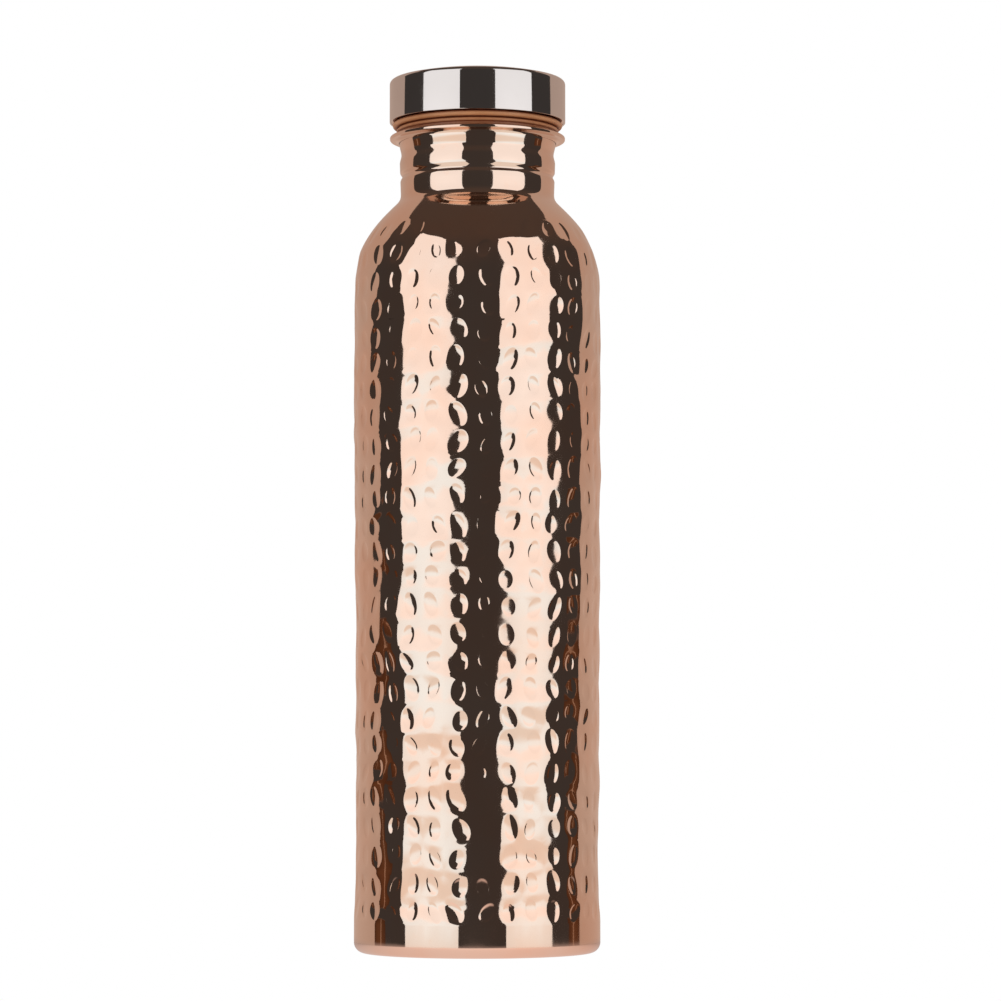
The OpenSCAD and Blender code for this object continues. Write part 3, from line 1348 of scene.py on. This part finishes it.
@dataclass
class NeckFittings:
    """Flange, threaded collar and silicone ring on the neck tube."""

    flange_r: float = 25.5
    flange_z: float = 235.0
    flange_t: float = 1.05
    rim: float = 0.35
    bead_r: float = 22.9
    bead_w: float = 1.4
    bead_h: float = 0.9
    bead_handles: tuple[Point, Point] = ((0.2, -0.25), (0.6, 0.0))
    gap: float = 0.05
    land_r: float = 23.6
    bore_r: float = 21.85
    collar_r: float = 22.85
    mouth_r: float = 21.1
    lip_z: float = 249.2
    lip_r: float = 0.55
    rib_root: float = 0.2
    rib_crest_r: float = 23.85
    seal_foot_r: float = 23.0
    seal_low_r: float = 23.6
    seal_high_r: float = 24.7
    seal_low_half: float = 0.75
    seal_high_half: float = 0.8
    seal_valley: float = 0.1
    seal_top_z: float = 240.25

    def build(self, metal: bpy.types.Material, soft: bpy.types.Material) -> list[bpy.types.Object]:
        """Makes the three fittings and hangs them on the bottle body.

        Args:
            metal: The turned metal.
            soft: The silicone.

        Returns:
            The pieces.
        """
        return [self._flange(metal), self._collar(metal), self._seal(soft)]

    def _flange(self, metal: bpy.types.Material) -> bpy.types.Object:
        """The ring brazed on the tube.

        Args:
            metal: The turned metal.

        Returns:
            The piece.
        """
        top = self.flange_z + self.flange_t
        rim_r = self.flange_r - self.rim
        handles = [(self.bead_r + out, self.flange_z + up) for out, up in self.bead_handles]
        bead = bezier(
            (self.bead_r, self.flange_z - self.bead_h),
            *handles,
            (self.bead_r + self.bead_w, self.flange_z),
            10,
        )
        bore_z = self.flange_z + self.gap
        outline = (
            [(self.bore_r, bore_z), (self.bead_r, bore_z)]
            + bead
            + arc(rim_r, self.flange_z + self.rim, self.rim, -90, 0, 8)
            + arc(rim_r, top - self.rim, self.rim, 0, 90, 8)
            + [(self.land_r, top), (self.bore_r, top)]
        )
        piece = turned_piece("brazed_flange", outline, metal)
        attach(piece, "bottle")
        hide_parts("neck_flange")
        return piece

    def _collar(self, metal: bpy.types.Material) -> bpy.types.Object:
        """The threaded sleeve with its rounded lip.

        Args:
            metal: The turned metal.

        Returns:
            The piece.
        """
        low = self.flange_z + self.flange_t
        shoulder = self.lip_z - self.lip_r
        outline = (
            [(self.bore_r, low), (self.collar_r, low)]
            + arc(self.collar_r - self.lip_r, shoulder, self.lip_r, 0, 90, 8)
            + arc(self.mouth_r + self.lip_r, shoulder, self.lip_r, 90, 180, 8)
            + [(self.bore_r, shoulder)]
        )
        sleeve = turned_mesh("sleeve", outline)
        thread = ThreadRib(self.collar_r - self.rib_root, self.rib_crest_r, 0.0)
        rib = thread.mesh("collar_rib", metal)
        piece = add_piece("threaded_collar", joined("threaded_collar", [sleeve, rib]), metal)
        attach(piece, "bottle")
        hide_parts("mouth_collar")
        return piece

    def _seal(self, soft: bpy.types.Material) -> bpy.types.Object:
        """The soft ring with two lips.

        Args:
            soft: The silicone.

        Returns:
            The piece.
        """
        low = self.flange_z + self.flange_t
        bore_r = self.collar_r + self.gap
        low_half, high_half = self.seal_low_half, self.seal_high_half
        high_mid = self.seal_top_z - high_half
        low_mid = high_mid - high_half - low_half - self.seal_valley
        outline = (
            [(bore_r, low), (self.seal_foot_r, low)]
            + arc(self.seal_low_r - low_half, low_mid, low_half, -70, 80, 14)
            + arc(self.seal_high_r - high_half, high_mid, high_half, -80, 90, 16)
            + [(bore_r, self.seal_top_z)]
        )
        piece = turned_piece("silicone_neck_ring", outline, soft)
        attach(piece, "bottle")
        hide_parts("neck_seal_ring")
        return piece


@dataclass
class ScrewCap:
    """Polished steel cup over a threaded copper liner, a pad between them and a washer below."""

    radius: float = 25.6
    hem_z: float = 240.3
    top_z: float = 255.6
    crown: float = 3.0
    edge: float = 1.2
    edge_start: float = 3.0
    inner_edge_start: float = 76.0
    inner_dome_radii: tuple[float, ...] = (0.0, 8.0, 16.0, 22.0)
    hem: float = 0.15
    thickness: float = 0.6
    liner_r: float = 24.95
    liner_in_r: float = 24.25
    liner_top_z: float = 250.7
    liner_t: float = 0.7
    liner_lift: float = 0.1
    liner_edge: float = 0.8
    rib_root: float = 0.2
    rib_crest_r: float = 23.25
    washer_z: float = 249.25
    washer_t: float = 1.4
    washer_in_r: float = 19.5
    washer_gap: float = 0.4
    washer_ease: float = 0.25

    def build(
        self, steel: bpy.types.Material, copper: bpy.types.Material, pad: bpy.types.Material
    ) -> list[bpy.types.Object]:
        """Makes the cap's shell and liner and hangs them on the cap body, and dresses the imported
        filler pad.

        Args:
            steel: The shell's metal.
            copper: The liner's metal.
            pad: The filler's finish.

        Returns:
            The pieces.
        """
        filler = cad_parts["cap_filler"]
        filler.data.materials.clear()
        filler.data.materials.append(pad)
        return [self._shell(steel), self._liner(copper), filler]

    def _dome_z(self, r: float, dome_r: float) -> float:
        """Height of the domed top at a radius."""
        return self.top_z - self.crown * (r / dome_r) ** 2

    def _shell(self, steel: bpy.types.Material) -> bpy.types.Object:
        """The steel cup with its domed top and rolled hem.

        Args:
            steel: The shell's metal.

        Returns:
            The piece.
        """
        edge_r = self.radius - self.edge
        slope = math.atan(2 * self.crown / edge_r)
        dome_r = self.radius - self.edge * (1 - math.sin(slope))
        wall_z = self.top_z - self.crown - self.edge * math.cos(slope)
        dome = [(r, self._dome_z(r, dome_r)) for r in dome_r * np.linspace(1, 0, 25)[1:]]
        walls = arc(self.radius - self.hem, self.hem_z + self.hem, self.hem, -90, 0, 5)
        walls += [(self.radius, wall_z)]
        edge = arc(edge_r, wall_z, self.edge, self.edge_start, 90 - math.degrees(slope), 16)
        inner = [(r, self._dome_z(r, dome_r) - self.thickness) for r in self.inner_dome_radii]
        inner += arc(edge_r, wall_z, self.edge - self.thickness, self.inner_edge_start, 0, 6)
        inner += [(self.radius - self.thickness, self.hem_z)]
        outline = self._poled(walls + edge + dome + inner)
        piece = turned_piece("steel_cap", outline, steel)
        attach(piece, "cap")
        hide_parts("cap_shell")
        return piece

    @staticmethod
    def _poled(outline: list[Point]) -> list[Point]:
        """The outline turned so that it starts on the axis, inside, and ends on it, outside."""
        start = max(i for i, (r, _) in enumerate(outline) if r < ON_AXIS)
        return outline[start:] + outline[:start]

    def _liner(self, copper: bpy.types.Material) -> bpy.types.Object:
        """The threaded copper cup that is pressed into the shell.

        Args:
            copper: The liner's metal.

        Returns:
            The piece.
        """
        roof = self.liner_top_z + self.liner_t
        low = self.hem_z + self.liner_lift
        edge = self.liner_edge
        outline = (
            [(0.0, self.liner_top_z), (self.liner_in_r, self.liner_top_z)]
            + [(self.liner_in_r, low), (self.liner_r, low)]
            + arc(self.liner_r - edge, roof - edge, edge, 0, 90, 8)
            + [(0.0, roof)]
        )
        cup = turned_mesh("liner_cup", outline)
        thread = ThreadRib(self.liner_in_r + self.rib_root, self.rib_crest_r, 180.0)
        rib = thread.mesh("liner_rib", copper)
        piece = add_piece("threaded_liner", joined("threaded_liner", [cup, rib]), copper)
        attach(piece, "cap")
        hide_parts("cap_liner")
        return piece

    def washer(self, soft: bpy.types.Material) -> bpy.types.Object:
        """The soft washer between the bottle's lip and the liner, with eased edges.

        Args:
            soft: The silicone.

        Returns:
            The piece.
        """
        ease = self.washer_ease
        out_r = self.liner_in_r - self.washer_gap - ease
        in_r = self.washer_in_r + ease
        low, top = self.washer_z + ease, self.washer_z + self.washer_t - ease
        corners = [(out_r, low), (out_r, top), (in_r, top), (in_r, low)]
        outline: list[Point] = []
        for turn, (r, z) in enumerate(corners):
            outline += arc(r, z, ease, 90 * turn - 90, 90 * turn, 5)
        piece = turned_piece("silicone_washer", outline, soft)
        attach(piece, "washer")
        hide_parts("cap_gasket")
        return piece


# ---- Studio ---------------------------------------------------------------------


WHITE: Colour = (1.0, 1.0, 1.0)


@dataclass(frozen=True)
class Panel:
    """A tall curved light panel that stands round the bottle, in metres and degrees."""

    name: str
    azimuth: float
    half_angle: float
    radius: float
    low: float
    high: float
    core: float
    rim: float
    core_z: float = 0.1
    spread: float = 0.3
    foot_colour: Colour = WHITE
    colour: Colour = WHITE
    head_colour: Colour = WHITE
    foot_blend: Range = (-0.16, 0.04)
    head_blend: Range = (0.1, 0.26)
    low_shift: Range = (0.0, 0.0)
    lean_heights: Range = (0.1, 0.22)
    columns: int = 48

    def build(self) -> None:
        """Makes the panel, which the camera itself doesn't see."""
        panel = add_piece(self.name, self._mesh(), self._light())
        panel.visible_camera = False
        panel.visible_shadow = False

    def _mesh(self) -> bpy.types.Mesh:
        """The panel's sheet, which leans by low_shift at its two edges below lean_heights.

        Returns:
            The mesh, with each point's nearness to the middle column as "inward".
        """
        columns = self.columns
        first, last = self.low_shift
        turns_at, stops_at = (min(z, self.high) for z in self.lean_heights)
        rings = [(self.low, 1.0), (turns_at, 1.0)]
        if stops_at > turns_at:
            rings.append((stops_at, 0.0))
        if self.high > stops_at:
            rings.append((self.high, 0.0))
        verts, across = [], []
        for z, share in rings:
            for k in range(columns + 1):
                s = 2 * k / columns - 1
                lean = share * (first * (1 - s) + last * (1 + s)) / 2
                a = math.radians(self.azimuth + s * self.half_angle + lean)
                verts.append((math.sin(a) * self.radius, -math.cos(a) * self.radius, z))
                across.append(1 - s * s)
        faces = [
            (p, p + columns + 1, p + columns + 2, p + 1)
            for i in range(len(rings) - 1)
            for p in range(i * (columns + 1), i * (columns + 1) + columns)
        ]
        mesh = bpy.data.meshes.new(self.name)
        mesh.from_pydata(verts, [], faces)
        mesh.attributes.new("inward", "FLOAT", "POINT").data.foreach_set("value", across)
        return mesh

    def _light(self) -> bpy.types.Material:
        """The panel's glow, brightest at its core and with its colours from foot to head.

        Returns:
            The material.
        """
        material, g = new_material(self.name)
        inward = g.add("ShaderNodeAttribute", {"attribute_name": "inward"})["Fac"]
        z = g.split(g.place())["Z"]
        off = (z - self.core_z) / self.spread
        share = inward * (-(off * off)).math("EXPONENT")
        colour = g.blend(z.smooth(*self.foot_blend), self.foot_colour, self.colour)
        colour = g.blend(z.smooth(*self.head_blend), colour, self.head_colour)
        g.surface(g.emission(colour, share * (self.core - self.rim) + self.rim))
        return material


def studio_panels() -> list[Panel]:
    """Two tall soft boxes in front, a warm screen behind, and low warm walls at the sides.

    Returns:
        The panels.
    """
    warm = (1.0, 0.73, 0.60)
    soft = {
        "radius": 1.6,
        "low": -3.2,
        "high": 1.72,
        "core": 1.06,
        "rim": 0.97,
        "foot_colour": (0.92, 0.86, 0.80),
        "colour": (1.0, 1.14, 1.22),
        "head_colour": (1.11, 1.10, 1.11),
    }
    brown, tan = (0.12, 0.048, 0.022), (0.36, 0.22, 0.15)
    wall = {
        "radius": 1.95,
        "low": -3.2,
        "high": 0.13,
        "core": 1.0,
        "rim": 0.55,
        "core_z": -0.1,
        "spread": 0.2,
        "foot_colour": brown,
        "colour": brown,
    }
    strip = {
        "radius": 1.85,
        "low": -3.2,
        "high": 0.1,
        "core": 1.0,
        "rim": 1.0,
        "foot_colour": tan,
        "colour": tan,
    }
    screen = {
        "radius": 2.1,
        "low": -3.2,
        "high": 2.6,
        "core": 0.6,
        "rim": 0.5,
        "foot_colour": warm,
        "colour": warm,
        "head_colour": warm,
    }
    panels = [Panel("back_screen", 180.0, 70.0, **screen)]
    for side, sign, shift in (("left", -1, (4.7, 5.7)), ("right", 1, (3.8, -1.2))):
        panels += [
            Panel(f"{side}_soft_box", sign * 48.6, 25.8, low_shift=shift, **soft),
            Panel(f"{side}_warm_wall", sign * 102.0, 8.0, **wall),
            Panel(f"{side}_warm_strip", sign * 100.4, 0.55, **strip),
        ]
    return panels


@dataclass
class Studio:
    """Pale round table top, soft panels, dark room and white surround."""

    table_r: float = 0.112
    table_solid_r: float = 0.05
    table_colour: Colour = (1.06, 0.83, 0.76)
    table_glow: float = 0.95
    table_dimming: float = 0.5
    table_depth: Range = (-0.07, 0.03)
    room: Colour = (0.048, 0.041, 0.038)
    ceiling: Colour = (0.074, 0.052, 0.042)
    ceiling_rise: Range = (0.2, 0.95)
    panels: list[Panel] = field(default_factory=studio_panels)

    def build(self) -> None:
        """Makes the table, the panels and the surround."""
        for panel in self.panels:
            panel.build()
        self._table()
        self._surround()
        bpy.context.scene.view_settings.view_transform = "Standard"

    def _table(self) -> None:
        """A plain pale disc under the bottle, whose glow in the metal fades outwards."""
        steps = 96
        turn = np.linspace(0, FULL_TURN, steps, endpoint=False)
        verts = [(self.table_r * math.cos(a), self.table_r * math.sin(a), 0.0) for a in turn]
        mesh = bpy.data.meshes.new("pale_floor")
        mesh.from_pydata(verts, [], [tuple(range(steps))])
        material, g = new_material("pale_floor")
        seen = g.add("ShaderNodeLightPath")["Is Camera Ray"]
        place = g.place()
        out = g.add("ShaderNodeVectorMath", {"operation": "LENGTH"}, {"Vector": place})["Value"]
        depth = g.split(place)["Y"].smooth(*self.table_depth)
        pale = g.emission(self.table_colour, self.table_glow - depth * self.table_dimming)
        clear = g.add("ShaderNodeBsdfTransparent")["BSDF"]
        faded = g.mixed(out.smooth(self.table_solid_r, self.table_r), pale, clear)
        g.surface(g.mixed(seen, faded, g.emission(WHITE, 1.0)))
        add_piece("pale_floor", mesh, material)

    def _surround(self) -> None:
        """White to the camera, and a dark room with a warmer ceiling in the metal."""
        world = bpy.data.worlds.new("surround")
        world.use_nodes = True
        g = Graph(world.node_tree)
        seen = g.add("ShaderNodeLightPath")["Is Camera Ray"]
        place = g.add("ShaderNodeTexCoord")["Generated"]
        high = g.split(place)["Z"].smooth(*self.ceiling_rise)
        dim = g.blend(high, self.room, self.ceiling)
        colour = g.blend(seen, dim, WHITE)
        back = g.add("ShaderNodeBackground", {}, {"Color": colour, "Strength": 1.0})
        g.add("ShaderNodeOutputWorld", {}, {"Surface": back["Background"]})
        bpy.context.scene.world = world


@dataclass
class ProductCamera:
    """Long lens low in front of the bottle."""

    distance: float = 1.060
    height: float = 0.060
    pitch_degrees: float = 3.783
    turn_degrees: float = -0.3625
    lens: float = 131.88
    sensor: float = 36.0
    clip: Range = (0.05, 20.0)

    def build(self) -> None:
        """Makes the scene's camera."""
        data = bpy.data.cameras.new("product_camera")
        data.lens = self.lens
        data.sensor_width = self.sensor
        data.clip_start, data.clip_end = self.clip
        camera = bpy.data.objects.new("product_camera", data)
        camera.location = (0.0, -self.distance, self.height)
        camera.rotation_euler = (
            math.radians(90 + self.pitch_degrees),
            0.0,
            math.radians(self.turn_degrees),
        )
        bpy.context.scene.collection.objects.link(camera)
        bpy.context.scene.camera = camera


def main() -> None:
    """Builds the bottle's pieces in order, then the studio and the camera."""
    logging.basicConfig(level=logging.INFO, format="%(name)s %(message)s")
    hammered = HAMMERED_COPPER.material()
    turned = TURNED_COPPER.material()
    steel = POLISHED_STEEL.material()
    silicone = AMBER_SILICONE.material()
    pad = FILLER_PAD.material()
    cap = ScrewCap()
    HammeredShell().build(hammered)
    BaseCup().build(turned)
    for piece in NeckFittings().build(turned, silicone):
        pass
    cap.washer(silicone)
    for piece in cap.build(steel, turned, pad):
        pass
    Studio().build()
    ProductCamera().build()


if __name__ == "__main__":
    main()
